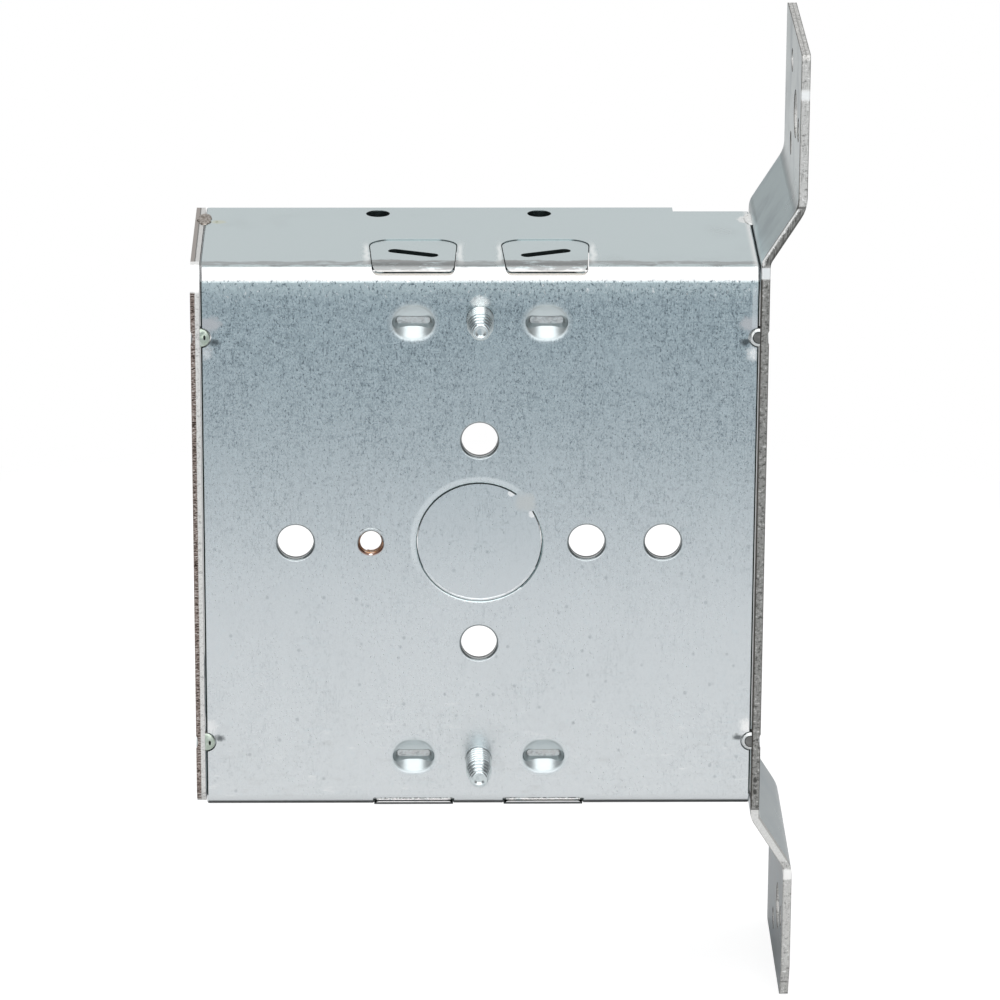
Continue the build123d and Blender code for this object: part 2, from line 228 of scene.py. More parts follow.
def makeFloor():
    mesh = bpy.data.meshes.new("floor")
    bm = bmesh.new()
    bmesh.ops.create_grid(bm, x_segments=1, y_segments=1, size=studio["floorReach"])
    bmesh.ops.translate(bm, verts=bm.verts, vec=(0, 0, cadBox[0][2] - studio["floorGap"] * mm))
    bm.to_mesh(mesh)
    bm.free()
    floor = bpy.data.objects.new("floor", mesh)
    scene.collection.objects.link(floor)
    material, start = newMaterial("paleFloor")
    path = {name: start.add("ShaderNodeLightPath", None, None, name)
            for name in ("Is Camera Ray", "Is Transmission Ray")}
    seen = path["Is Camera Ray"].high(path["Is Transmission Ray"])
    place = start.add("ShaderNodeTexCoord", None, None, "Object")
    across, along, up = place.axes()
    apron = mixed(start, along.fade(*studio["floorFade"]), studio["floorNear"], studio["floorFar"])
    apron = apron.tint(abs(across).fade(*studio["sideFade"]), studio["floorSide"])
    apron = apron.tint(along.fade(*studio["endFade"]), studio["floorEnd"])
    matt = start.add("ShaderNodeBsdfDiffuse", None, {"Color": apron})
    white = start.add("ShaderNodeEmission", None, {"Color": rgb(1, 1, 1), "Strength": studio["floorGlow"]})
    dark = start.add("ShaderNodeBsdfDiffuse", None, {"Color": rgb(*[studio["floorShadow"]] * 3)})
    sweep = start.add("ShaderNodeAddShader", None, {0: white, 1: dark})
    plain = start.add("ShaderNodeEmission", None, {"Color": rgb(1, 1, 1), "Strength": 1.0})
    apart = place.stretch(1, 1, 0).reach().fade(*studio["shadowReach"])  # no shadow out there
    sweep = start.add("ShaderNodeMixShader", None, {0: apart, 1: sweep, 2: plain})
    finishMaterial(start, start.add("ShaderNodeMixShader", None, {0: seen, 1: matt, 2: sweep}))
    mesh.materials.append(material)


def makeWorld():
    world = bpy.data.worlds.new("studio")
    world.use_nodes = True
    scene.world = world
    world.node_tree.nodes.clear()
    start = Wire(world.node_tree)
    path = {name: start.add("ShaderNodeLightPath", None, None, name)
            for name in ("Is Camera Ray", "Is Glossy Ray", "Is Transmission Ray")}
    across, along, up = start.add("ShaderNodeTexCoord", None, None, "Generated").axes()
    rise = studio["mirrorHigh"] - studio["mirrorLow"]
    mirrored = studio["mirrorLow"] + rise * along.fade(*studio["mirrorAlong"])
    mirrored = mirrored * (1 - studio["mirrorSides"] * abs(across).fade(*studio["mirrorAcross"]))
    seen = path["Is Camera Ray"].high(path["Is Transmission Ray"])
    level = seen.high(path["Is Glossy Ray"] * mirrored).high(studio["worldLevel"])
    glow = start.add("ShaderNodeBackground", None, {"Color": rgb(1, 1, 1), "Strength": level})
    start.add("ShaderNodeOutputWorld", None, {"Surface": glow})


def makeSoftBox(name, box):
    lamp = bpy.data.lights.new(name, "AREA")
    lamp.shape = "RECTANGLE"
    lamp.size, lamp.size_y = box["size"]
    lamp.energy = box["radiance"] * math.pi * lamp.size * lamp.size_y
    holder = bpy.data.objects.new(name, lamp)
    holder.location = box["place"]
    holder.rotation_euler = (math.radians(box["tilt"]), 0, 0)
    holder.visible_camera = False
    scene.collection.objects.link(holder)


makeFloor()
makeWorld()
for name, box in studio["boxes"].items():
    makeSoftBox(name, box)
print("studio built")


def grainField(place, scales, octaves, rough, shift=(0, 0, 0), twist=0.0):  # stretched noise, 0 to 1
    return place.shift(*shift).stretch(*scales).grain(1.0, octaves, rough, twist)


def surface(start, look):  # where a point is, which way it faces, and the look's own noise fields
    place = placeInMillimetres(start)
    x, y, z = place.axes()
    nx, ny, nz = facing(start)
    corner = start.add("ShaderNodeCombineXYZ", None, {0: abs(x), 1: 0.0, 2: abs(z)})
    grain = SimpleNamespace(**{name: grainField(place, *row) for name, row in look["grains"].items()})
    return SimpleNamespace(start=start, place=place, corner=corner, x=x, y=y, z=z, nx=nx, ny=ny, nz=nz,
                           grain=grain, hue=look["colours"], spots=look["spots"], zone=look["zones"])


# galvanized sheet folded into the back panel, top wall and bottom wall
wrap = {
    "rough": 0.22,
    "relief": 0.012,
    "cable": 11.7,  # pry-outs and dents, either side of the middle
    "slugFoot": 7.0,
    "speckSpread": (0.34, 0.34, 0.30),
    "colours": {
        "zincHigh": rgb(0.41, 0.485, 0.515),
        "zincLow": rgb(0.69, 0.72, 0.735),
        "wallZinc": rgb(0.567, 0.652, 0.667),
        "stroke": rgb(0.10, 0.135, 0.16),
        "spark": rgb(0.62, 0.70, 0.73),
        "pale": rgb(0.64, 0.65, 0.635),
        "band": rgb(0.80, 0.84, 0.85),
        "fold": rgb(0.605, 0.61, 0.615),
        "heat": rgb(0.60, 0.595, 0.605),
        "white": rgb(0.96, 0.96, 0.95),
        "tool": rgb(0.25, 0.255, 0.255),
        "cut": rgb(0.50, 0.51, 0.51),
        "rim": rgb(0.24, 0.26, 0.27),
        "slit": rgb(0.03, 0.04, 0.04),
        "under": rgb(0.06, 0.065, 0.065),
        "bowl": rgb(0.60, 0.655, 0.67),
        "ledge": rgb(0.86, 0.82, 0.76),
        "copper": rgb(0.33, 0.13, 0.06),
        "darkBrown": rgb(0.16, 0.075, 0.05),
        "smudge": rgb(0.06, 0.07, 0.075),
        "stain": rgb(0.62, 0.63, 0.45),
        "stainCore": rgb(0.33, 0.35, 0.22),
    },
    "spots": {  # centre and half sizes
        "dent": ((11.7, 0, 40.9), (3.85, 0, 3.3)),
        "tie": ((8.1, 0, 7.55), (1.9, 0, 1.7)),
        "leftFlare": ((5.65, 0, 9.2), (0.7, 0, 0.75)),
        "rightFlare": ((9.3, 0, 5.3), (0.7, 0, 0.75)),
        # painted reflection of the upper screw, above it
        "screwReflection": ((0, 0, 44.7), (1.8, 0, 1.2)),
        "ground": ((-19.3, 0, 0), (1, 0, 1)),
        "groundHighlight": ((-19.3, 0, -2.28), (0.34, 0, 0.13)),
        "heat": ((47.5, 0, 40.6), (1.8, 0, 1.5)),
        "smudge": ((46.6, 0, 37.3), (1.0, 0, 0.7)),
        # painted highlight below each stake
        "bright": ((48.0, 0, 35.2), (1.1, 0, 1.4)),
        "stain": ((-46.6, 28.9, 50.8), (1.6, 1.3, 1)),
        "stainCore": ((-46.9, 29.0, 50.8), (0.3, 0.8, 1)),
        "spatter": ((48.0, 30.3, 50.8), (1.5, 2.6, 1)),
    },
    "zones": {  # start and end of a fade, or low, high and softness of a band
        "panelEnd": (48.9, 48.3),
        "upperHalf": (-10, 10),
        "wear": (-18, 48),
        "bleach": (44.2, 48.3),
        "lowerFold": (-40, -45),
        "upperFold": (48.2, 48.6),
        "foldDepth": (2.7, 2.5),
        "lowDull": (-25, -44),
        "lowShine": (-20, -40),
        "disc": (11.0, 10.6),
        "band": (11.4, 12.3, 0.25),
        "tearEnd": (11.1, 11.0),
        "ragged": (11.2, 11.7, 0.1),
        "raggedLow": (-7, -9),
        "slugs": (8.2, 7.4),
        "strip": (2.3, 4.6, 0.35),
        "stripHeight": (46, 48),
        "nickStart": (43.5, 47.6),
        "nickEnd": (48.9, 48.5),
        "holeDepth": (0.45, 1.7, 0.08),
        "holeDark": (0.8, 1.3),
        "holesEnd": (48, 47),
        "rimDepth": (0.5, 0.4),
        "rimsEnd": (47, 46),
        "rimStart": (11.6, 12.0),
        "wallCut": (49.1, 50.7, 0.1),
        "wallCutStart": (2.9, 3.4),
        "backEdge": (14.2, 17.5, 0.8),
        "ledge": (48.8, 49.9, 0.1),
        "ledgeDepth": (2.3, 1.9),
        "seam": (48.66, 48.8),
        "seamDepth": (1.7, 1.6),
        "seamEnd": (48.6, 48.2),
        "groundBore": (2.7, 2.4),
        "brownRing": (2.0, 2.2, 0.1),
        "brownRingLow": (0.5, -1.5),
        "border": (7.8, 8.7, 0.4),
        "borderDepth": (4.0, 15.0, 3.0),
        "rightHalf": (-1, 1),
        "flank": (47.75, 48.6, 0.15),
        "flankHeight": (39.8, 47.4, 0.8),
        "weldEdge": (47.6, 48.7),
        "slugFace": (-49.0, -49.3),
        "slugDepth": (2.6, 2.2),
        "slugEnds": (0.42, 0.26),
        "scuffWidth": (7.4, 7.0),
        "scuffDepth": (2.2, 1.6),
        "sill": (-49.25, -48.95, 0.1),
        "sillWidth": (7.3, 7.0),
        "underFold": (-46, -48),
        "underDepth": (2.8, 2.4),
        "barWidth": (3.1, 2.9),
        "barDepth": (1.25, 1.4),
    },
    "grains": {  # scales, octaves and roughness, then shift and twist
        "cloud": ((0.05, 0.05, 0.05), 3.0, 0.5),
        "patch": ((0.11, 0.11, 0.07), 3.0, 0.6, (5, 0, 31)),
        "crumb": ((2.2, 2.2, 2.2), 4.0, 0.7),
        "mottle": ((0.85, 0.85, 0.6375), 3.0, 0.62),
        "grit": ((3.4, 3.4, 2.38), 2.0, 0.6),
        "fleck": ((2.7, 2.7, 1.35), 2.0, 0.6, (0, 0, 0), 0.4),
        "curl": ((0.42, 0.42, 0.294), 3.0, 0.62, (3, 0, 8)),
        "dash": ((0.07, 1, 1.5), 2.0, 0.6, (0, 0, 11)),
        "scratch": ((0.9, 1, 0.07), 2.0, 0.6, (17, 0, 0)),
        "fray": ((1.1, 1, 0.8), 4.0, 0.7),
        "rubbed": ((0.16, 1, 0.5), 4.0, 0.65),
        "tie": ((0.7, 0.7, 0.7), 3.0, 0.5),
        "heat": ((0.6, 0.6, 0.6), 3.0, 0.5),
        "torn": ((1.6, 1.6, 1.6), 3.0, 0.5),
        "wave": ((0.22, 0.3, 1), 3.0, 0.6),
        "tool": ((0.3, 0.8, 1), 4.0, 0.7),
        "nick": ((1.3, 0.5, 1.1), 3.0, 0.7),
        "border": ((0.5, 0.3, 1), 3.0, 0.6),
        "smudge": ((0.9, 0.9, 0.9), 4.0, 0.6),
        "scuff": ((0.6, 1, 2.5), 4.0, 0.7),
        "bar": ((0.8, 1, 1.6), 3.0, 0.7),
    },
}


def panelMasks(at):  # where the panel is plain, worn, or smooth as at the dents, the tab and the heat marks
    zone, grain = at.zone, at.grain
    at.panel = at.ny.fade(-0.93, -0.99) * abs(at.z).fade(*zone["panelEnd"])
    at.wall = at.nz.fade(0.8, 0.95)
    at.fromCable = abs(abs(at.x) - wrap["cable"])
    at.slugs = at.fromCable.fade(*zone["slugs"])
    at.around = at.place.stretch(1, 0, 1).reach()
    fromDent = at.corner.spot(*at.spots["dent"])
    at.bowl = fromDent.fade(1.3, 0.75)
    at.dentFar = fromDent.fade(0.82, 1.06)
    at.tie = (at.place.spot(*at.spots["tie"]) + 1.4 * grain.tie).fade(2.0, 1.2) * at.panel
    heat = (at.corner.spot(*at.spots["heat"]) + 1.6 * grain.heat).fade(2.1, 1.3)
    at.heat = heat * at.panel * at.z.fade(*zone["upperHalf"])
    at.smooth = at.dentFar * (1 - at.tie) * (1 - at.heat)
    at.high = at.z.fade(*zone["wear"])
    at.bleach = (at.z + 5.0 * (grain.fray - 0.5)).fade(*zone["bleach"]) * 0.85  # towards the upper fold
    spread = (0.12 + 0.88 * at.high) * (0.35 + 0.65 * grain.patch.fade(0.22, 0.5))
    at.worn = at.panel * at.smooth * spread * (1 - 0.65 * at.around.fade(*zone["disc"]))


def bareZinc(at):  # darker up the panel, paler on the walls and folds
    hue, zone = at.hue, at.zone
    zinc = mixed(at.start, at.high * (0.72 + 0.56 * at.grain.cloud), hue["zincLow"], hue["zincHigh"])
    lower = at.z.fade(*zone["lowerFold"]) * at.nz.fade(0.1, 0)
    onPanel = (at.panel * (1 - at.bleach)).high(lower) * at.dentFar
    zinc = mixed(at.start, onPanel, hue["wallZinc"], zinc)
    fold = at.nz.within(0.12, 0.93, 0.05) * at.z.fade(*zone["upperFold"]) * at.y.fade(*zone["foldDepth"])
    return zinc.tint(fold, hue["fold"])


def wornPanel(at, zinc):  # mottling, hair lines, flecks, long faint dashes, scratches and specks
    hue, grain = at.hue, at.grain
    onPanel = at.panel * at.smooth
    fine = at.worn * (1 - at.bleach)
    zinc = zinc.tint(fine * grain.mottle.fade(0.52, 0.30) * 0.36, hue["stroke"])
    zinc = zinc.tint(fine * grain.mottle.fade(0.50, 0.72) * 0.38, hue["spark"])
    zinc = zinc.tint(fine * grain.grit.fade(0.52, 0.34) * 0.42, hue["stroke"])
    zinc = zinc.tint(fine * grain.grit.fade(0.52, 0.70) * 0.56, hue["spark"])
    darkHair = abs(grain.curl - 0.5).fade(0.012, 0.003) * grain.patch.fade(0.42, 0.58) * onPanel
    zinc = zinc.tint(darkHair * (0.15 + 0.5 * at.high), hue["stroke"])
    paleHair = abs(grain.curl - 0.43).fade(0.010, 0.003) * grain.patch.fade(0.5, 0.38) * onPanel
    zinc = zinc.tint(paleHair * 0.5, hue["spark"])
    at.strokes = grain.fleck.fade(0.425, 0.345) * at.worn
    sparks = grain.fleck.fade(0.62, 0.71) * at.worn
    zinc = zinc.tint(at.strokes * 0.85, hue["stroke"]).tint(sparks * 0.6, hue["spark"])
    dashes = abs(grain.dash - 0.5).fade(0.012, 0.003) * grain.patch.fade(0.45, 0.6) * onPanel
    scratches = abs(grain.scratch - 0.5).fade(0.010, 0.002) * grain.patch.fade(0.5, 0.62) * onPanel
    zinc = zinc.tint(dashes * 0.4, hue["spark"])
    zinc = zinc.tint(scratches * (0.3 + 0.7 * at.high) * 0.5, hue["stroke"])
    specks = at.place.stretch(*wrap["speckSpread"]).dots(0.15) * onPanel * (1 - at.high * 0.6)
    return zinc.tint(specks * 0.25, hue["stroke"])


def cloudsRubsAndReflection(at, zinc):  # clouds on the walls, the dents, a painted reflection of the upper screw above it, rubs low on the panel
    hue, zone, grain = at.hue, at.zone, at.grain
    zinc = zinc.tint(grain.cloud.fade(0.55, 0.75) * at.wall * 0.12, hue["tool"])
    zinc = zinc.tint(at.bowl * at.ny.fade(-0.1, -0.3) * 0.8, hue["bowl"])
    # painted reflection of the upper screw's highlight on the panel above it
    screwReflection = (at.place.spot(*at.spots["screwReflection"]) + 0.5 * grain.crumb).fade(1.45, 0.7)
    zinc = zinc.tint(screwReflection * at.panel * 0.85, hue["white"])
    dull = grain.rubbed.fade(0.54, 0.7) * at.z.fade(*zone["lowDull"])
    shine = grain.rubbed.fade(0.42, 0.28) * at.z.fade(*zone["lowShine"])
    return zinc.tint(dull * at.panel * 0.3, hue["cut"]).tint(shine * at.panel * 0.35, hue["white"])


def knockoutMarks(at, zinc):  # pale band up and to the left of its line as a painted highlight on its rim, its tab, torn white corners
    hue, zone, grain = at.hue, at.zone, at.grain
    # painted highlight: the band shows only up and to the left, where light falls on the rim
    upLeft = (at.z * 0.8 - at.x * 0.6).fade(0.0, 6.0)
    band = at.around.within(*zone["band"]) * upLeft * (0.5 + 0.5 * grain.crumb)
    zinc = zinc.tint(band * at.panel * 0.9, hue["band"]).tint(at.tie * 0.75, hue["pale"])
    for flare in ("leftFlare", "rightFlare"):
        torn = (at.place.spot(*at.spots[flare]) + 0.8 * grain.torn).fade(1.45, 1.05)
        zinc = zinc.tint(torn * at.around.fade(*zone["tearEnd"]) * at.panel, hue["white"])
    ragged = at.around.within(*zone["ragged"]) * at.z.fade(*zone["raggedLow"]) * grain.crumb.fade(0.5, 0.62)
    return zinc.tint(ragged * at.panel * 0.8, hue["white"])


def foldMarks(at, zinc):  # painted shade in a ragged strip on the top wall beside the fold, nicks below the fold
    hue, zone, grain = at.hue, at.zone, at.grain
    near, far, soft = zone["strip"]
    wavy = at.y + 3.2 * (grain.wave - 0.5)
    # painted shade where the top wall starts to bend, with ragged edges
    strip = wavy.within(near, far + 1.0 * at.slugs, soft) * at.z.fade(*zone["stripHeight"])
    strip = strip * grain.tool.fade(0.25, 0.5)
    zinc = zinc.tint(strip * (0.65 + 0.25 * at.slugs), hue["tool"])
    nicks = at.z.fade(*zone["nickStart"]) * at.z.fade(*zone["nickEnd"])
    zinc = zinc.tint(grain.nick.fade(0.42, 0.35) * nicks * 0.8, hue["stroke"])
    return zinc.tint(grain.nick.fade(0.60, 0.67) * nicks * 0.8, hue["white"])


def cutFaces(at, zinc):  # rims and walls of holes, slits and nail holes, ledges under the upper slugs, seams; painted shade on the rims, deep in the holes, in the slits and nail holes and in the seams
    hue, zone, grain = at.hue, at.zone, at.grain
    # painted shade on the rounded rims of the holes
    rim = at.ny.within(-0.95, -0.25, 0.04) * at.y.fade(*zone["rimDepth"]) * abs(at.z).fade(*zone["rimsEnd"])
    zinc = zinc.tint(rim * at.dentFar * at.around.fade(*zone["rimStart"]) * 0.9, hue["rim"])
    depth = at.y.within(*zone["holeDepth"]) * abs(at.z).fade(*zone["holesEnd"])
    level = at.nz.fade(0.45, 0.2)  # in a dent, faces that look up stay plain
    at.holeWall = depth * abs(at.ny).fade(0.6, 0.3) * at.dentFar.high(level)
    # painted shade deep in the hole walls
    zinc = zinc.tint(at.holeWall, hue["cut"]).tint(at.holeWall * at.y.fade(*zone["holeDark"]), hue["slit"])
    wallCut = abs(at.z).within(*zone["wallCut"]) * at.y.fade(*zone["wallCutStart"])
    at.wallCut = wallCut * abs(at.nz).fade(0.6, 0.3) * at.ny.fade(0.9, 0.6)
    backEdge = at.y.within(*zone["backEdge"]) * at.slugs
    # painted shade on the cut walls of the slits and nail holes, less at the slugs' back edges
    zinc = zinc.tint(at.wallCut * (1 - 0.75 * backEdge), hue["slit"])
    at.ledge = at.nz.fade(0.6, 0.9) * at.z.within(*zone["ledge"]) * at.y.fade(*zone["ledgeDepth"])
    zinc = zinc.tint(at.ledge * grain.crumb.fade(0.25, 0.5), hue["ledge"])
    # painted shade in the seams beside the side plates
    seam = abs(at.x).fade(*zone["seam"]) * at.y.fade(*zone["seamDepth"]) * abs(at.z).fade(*zone["seamEnd"])
    return zinc.tint(seam, hue["slit"])


def groundMarks(at, zinc):  # copper colour in the ground hole, a dark brown ring round its rim, a painted highlight below it
    hue, zone, grain = at.hue, at.zone, at.grain
    away = at.place.spot(*at.spots["ground"])
    bore = away.fade(*zone["groundBore"]) * at.holeWall
    zinc = zinc.tint(bore * grain.crumb.fade(0.3, 0.5), hue["copper"])
    onFace = at.ny.fade(-0.2, -0.5)
    near, far, soft = zone["brownRing"]
    brownRing = away.within(near, far + 0.3 * at.z.fade(*zone["brownRingLow"]), soft) * onFace
    zinc = zinc.tint(brownRing * (0.75 + 0.25 * grain.crumb), hue["darkBrown"])
    # painted highlight below the hole
    return zinc.tint(at.place.spot(*at.spots["groundHighlight"]).fade(1.2, 0.6) * onFace, hue["white"])


def slugBorders(at, zinc):  # pale raised borders beside the upper slugs
    beside = at.fromCable + 1.6 * (at.grain.border - 0.5)
    at.border = beside.within(*at.zone["border"]) * at.y.within(*at.zone["borderDepth"])
    return zinc.tint(at.border * at.wall * (0.35 + 0.5 * at.grain.crumb), at.hue["white"])


def stakeMarks(at, zinc):  # heat mark above each stake, dark smudge inside, a painted highlight below
    hue, zone, grain = at.hue, at.zone, at.grain
    zinc = zinc.tint(at.heat * 0.85, hue["heat"])
    smudge = (at.corner.spot(*at.spots["smudge"]) + 2.0 * grain.smudge).fade(2.3, 1.3)
    zinc = zinc.tint(smudge * at.panel * 0.8, hue["smudge"])
    # painted highlight below each stake
    bright = (at.corner.spot(*at.spots["bright"]) + 2.0 * grain.smudge).fade(2.4, 1.2)
    zinc = zinc.tint(bright * at.panel * (0.55 + 0.4 * at.x.fade(*zone["rightHalf"])), hue["white"])
    flank = at.x.within(*zone["flank"]) * at.z.within(*zone["flankHeight"]) * at.panel
    return zinc.tint(flank * 0.5, hue["band"])


def weldMarks(at, zinc):  # yellow stain beside the left weld, pale spatter and edge beside the right one
    hue, grain = at.hue, at.grain
    stain = (at.place.spot(*at.spots["stain"]) + 0.5 * grain.crumb).fade(1.35, 0.8)
    core = at.place.spot(*at.spots["stainCore"]).fade(1.2, 0.6)
    zinc = zinc.tint(stain * at.wall * 0.55, hue["stain"]).tint(core * at.wall * 0.5, hue["stainCore"])
    spatter = (at.place.spot(*at.spots["spatter"]) + 0.9 * grain.crumb).fade(1.5, 1.1)
    return zinc.tint(spatter.high(at.x.fade(*at.zone["weldEdge"])) * at.wall * 0.7, hue["white"])


def lowerFold(at, zinc):  # scuffs and painted reflection on the lower slugs' faces, painted shade at their ends and sill and under the fold
    hue, zone, grain = at.hue, at.zone, at.grain
    face = at.z.fade(*zone["slugFace"])
    depth = at.y.fade(*zone["slugDepth"])
    # scuffs, whitened as a painted reflection of the bright floor
    scuff = face * at.fromCable.fade(*zone["scuffWidth"]) * at.y.fade(*zone["scuffDepth"])
    zinc = zinc.tint(scuff * grain.scuff.fade(0.3, 0.5), hue["white"])
    # painted shade at the slugs' ends and along the sill
    ends = abs(at.fromCable - wrap["slugFoot"]).fade(*zone["slugEnds"]) * face * depth
    sill = at.z.within(*zone["sill"]) * depth * at.fromCable.fade(*zone["sillWidth"])
    zinc = zinc.tint(ends.high(sill * grain.crumb.fade(0.62, 0.4) * 0.8), hue["slit"])
    # painted shade under the fold
    under = at.nz.fade(-0.45, -0.62) * at.y.fade(*zone["underDepth"]) * at.z.fade(*zone["underFold"])
    return zinc.tint(under, hue["under"])


def dentBars(at, zinc):  # blotchy flat bars in the dents
    hue, zone, grain = at.hue, at.zone, at.grain
    bar = at.fromCable.fade(*zone["barWidth"]) * at.y.fade(*zone["barDepth"]) * at.ny.fade(-0.8, -0.95)
    bar = bar * (1 - at.dentFar)
    zinc = zinc.tint(bar * (0.45 + 0.5 * grain.crumb.fade(0.4, 0.6)), hue["cut"])
    return zinc.tint(bar * grain.bar.fade(0.5, 0.36) * 0.6, hue["rim"])


def galvanizedWrap():
    material, start = newMaterial("galvanizedWrap")
    at = surface(start, wrap)
    panelMasks(at)
    zinc = bareZinc(at)
    for marks in (wornPanel, cloudsRubsAndReflection, knockoutMarks, foldMarks, cutFaces, groundMarks,
                  slugBorders, stakeMarks, weldMarks, lowerFold, dentBars):
        zinc = marks(at, zinc)
    cuts = at.wallCut.high(at.ledge).high(at.border)
    rough = wrap["rough"] + 0.1 * at.bowl + 0.08 * at.grain.cloud + 0.15 * at.strokes
    rough = rough + 0.3 * cuts + 0.15 * at.holeWall
    rolled = at.panel * at.dentFar * (0.09 + 0.66 * at.high)
    # the strip of painted shade also gets a rougher bump
    foldStrip = at.y.within(*at.zone["strip"]) * at.z.fade(*at.zone["stripHeight"])
    crumbs = 0.15 + at.holeWall.high(at.ledge) * 2.0 + 0.5 * foldStrip
    bump = at.grain.fleck * rolled * 0.5 + at.grain.crumb * crumbs
    finishMaterial(start, metal(start, zinc, rough, bump, wrap["relief"]))
    return material


# side plates: zinc on their faces, painted lighter on the upper jog and ear and darker on the lower ones,
# worn zones and painted highlights on their sheared edges
plate = {
    "rough": 0.24,
    "relief": 0.012,
    "inside": 49.2,  # inner face, from the middle of the box
    "step": 6.2,
    "tear": 0.82,  # depth in the sheet where the shear tore it
    "colours": {
        "zinc": rgb(0.60, 0.64, 0.65),
        # painted light on the upper jog and ear, painted shade on the lower jog and ear
        "jogHigh": rgb(0.62, 0.73, 0.75),
        "earHigh": rgb(0.82, 0.88, 0.885),
        "jogLow": rgb(0.31, 0.36, 0.375),
        "earLow": rgb(0.225, 0.255, 0.27),
        "shade": rgb(0.30, 0.36, 0.40),
        "dark": rgb(0.045, 0.035, 0.03),
        "brown": rgb(0.30, 0.24, 0.215),
        "fawn": rgb(0.36, 0.325, 0.30),
        "grey": rgb(0.30, 0.30, 0.29),
        "deep": rgb(0.09, 0.09, 0.085),
        "pale": rgb(0.78, 0.78, 0.765),
        "dull": rgb(0.62, 0.62, 0.61),
        "white": rgb(0.97, 0.97, 0.96),
    },
    "spots": {  # pressed marks near the lower end of the box
        "upperMark": ((49.95, 0, -45.7), (0.5, 0, 0.75)),
        "lowerMark": ((49.95, 0, -48.0), (0.5, 0, 0.75)),
    },
    "zones": {  # start and end of a fade, or low, high and softness of a band
        "jogHigh": (51.6, 61.4, 0.9),
        "earHigh": (60.6, 62.4),
        "jogLow": (-51.5, -53.5),
        "earLow": (-61.5, -63.5),
        "shade": (50, 53),
        "seam": (49.35, 49.25),
        "seamDepth": (1.7, 1.6),
        "seamEnd": (48.6, 48.2),
        "leftHalf": (5, -5),
        "upperStep": (52.1, 61.9),
        "lowerStep": (-53.1, -62.9),
        "tabs": (-0.45, -0.25),
        "burnished": (0.85, 0.72),
        "tearLine": (0.14, 0.06),
        "innerRim": (0.22, 0.08),
        "outerRim": (1.42, 1.55),
        "rimHeight": (-52, -50),
        "boxEdge": (51.4, 51.0),
        "boxInner": (0.32, 0.16),
        "jogEdge": (51.2, 61.6, 0.2),
        "jogOuter": (0.45, 0.6),
        "earEdge": (61.0, 62.2),
        "upperBend": (61.6, 62.0, 0.15),
        "lowerBend": (-51.5, -51.2, 0.12),
        "boxGlint": (48.8, 50.9, 0.2),
        "lowGlint": (-65.2, -63.2, 0.25),
        "highGlint": (81.2, 82.9, 0.5),
    },
    "grains": {  # scales, octaves and roughness, then shift and twist
        "cloud": ((0.09, 0.09, 0.09), 3.0, 0.6),
        "crumb": ((3.0, 3.0, 3.0), 4.0, 0.7),
        "dimple": ((1.6, 1.6, 1.6), 4.0, 0.6),
        "wander": ((1, 0.4, 0.4), 3.0, 0.6),
        "across": ((1.3, 0.6, 4.5), 3.0, 0.7),
        "along": ((4.5, 0.6, 0.35), 3.0, 0.65),
        "blot": ((1.4, 1, 1.7), 4.0, 0.7),
    },
}


def sheetDepth(at):  # how far through the sheet, from the inside of each plate
    zone = at.zone
    at.left = at.x.fade(*zone["leftHalf"])
    at.right = 1 - at.left
    step = plate["step"] * (at.z.slide(*zone["upperStep"]) + at.z.slide(*zone["lowerStep"]))
    at.through = at.left * (-plate["inside"] - at.x) + at.right * (at.x - plate["inside"] - step)
    at.edge = abs(at.nx).fade(0.6, 0.25) * at.through.fade(*zone["tabs"])  # the cover tabs keep their zinc
    at.ragged = at.through + 0.22 * (at.grain.wander - 0.5)
    at.inner = at.ragged.fade(*zone["burnished"])
    at.outer = 1 - at.inner
    at.line = abs(at.ragged - plate["tear"]).fade(*zone["tearLine"])
    at.rims = at.through.fade(*zone["innerRim"]).high(at.through.fade(*zone["outerRim"]))


def plateFaces(at):  # zinc painted lighter on the upper jog and ear and darker on the lower ones, clouds, painted shade in the seams beside the panel
    hue, zone = at.hue, at.zone
    # painted light and shade: lighter up the jog and ear, darker down the lower ones
    colour = mixed(at.start, at.z.within(*zone["jogHigh"]), hue["zinc"], hue["jogHigh"])
    for part in ("earHigh", "jogLow", "earLow"):
        colour = colour.tint(at.z.fade(*zone[part]), hue[part])
    shade = at.grain.cloud.fade(0.42, 0.7) * abs(at.z).fade(*zone["shade"])
    # painted shade in the seam beside the panel
    seam = abs(at.nx).fade(0.6, 0.8) * abs(at.x).fade(*zone["seam"])
    seam = seam * at.y.fade(*zone["seamDepth"]) * abs(at.z).fade(*zone["seamEnd"])
    return colour.tint(shade * 0.4, hue["shade"]).tint(seam, hue["dark"])


def leftEdges(at, worn):  # torn brown metal at the back, fawn on top, a painted highlight on the rounded corner where they meet
    hue, grain = at.hue, at.grain
    back = at.ny.fade(-0.5, -0.8) * at.left
    worn = worn.tint(back * at.outer * grain.across.fade(0.30, 0.48), hue["brown"])
    worn = worn.tint(back * at.outer * grain.across.fade(0.46, 0.60), hue["dark"])
    worn = worn.tint(back * at.inner * grain.blot.fade(0.52, 0.64) * 0.6, hue["grey"])
    top = at.nz.fade(0.7, 0.95) * at.left
    worn = worn.tint(top * at.outer, hue["fawn"]).tint(top * at.line * 0.8, hue["deep"])
    # painted highlight on the corner where the back and top meet
    return worn.tint((at.ny * at.nz).fade(-0.03, -0.12) * at.left, hue["white"])


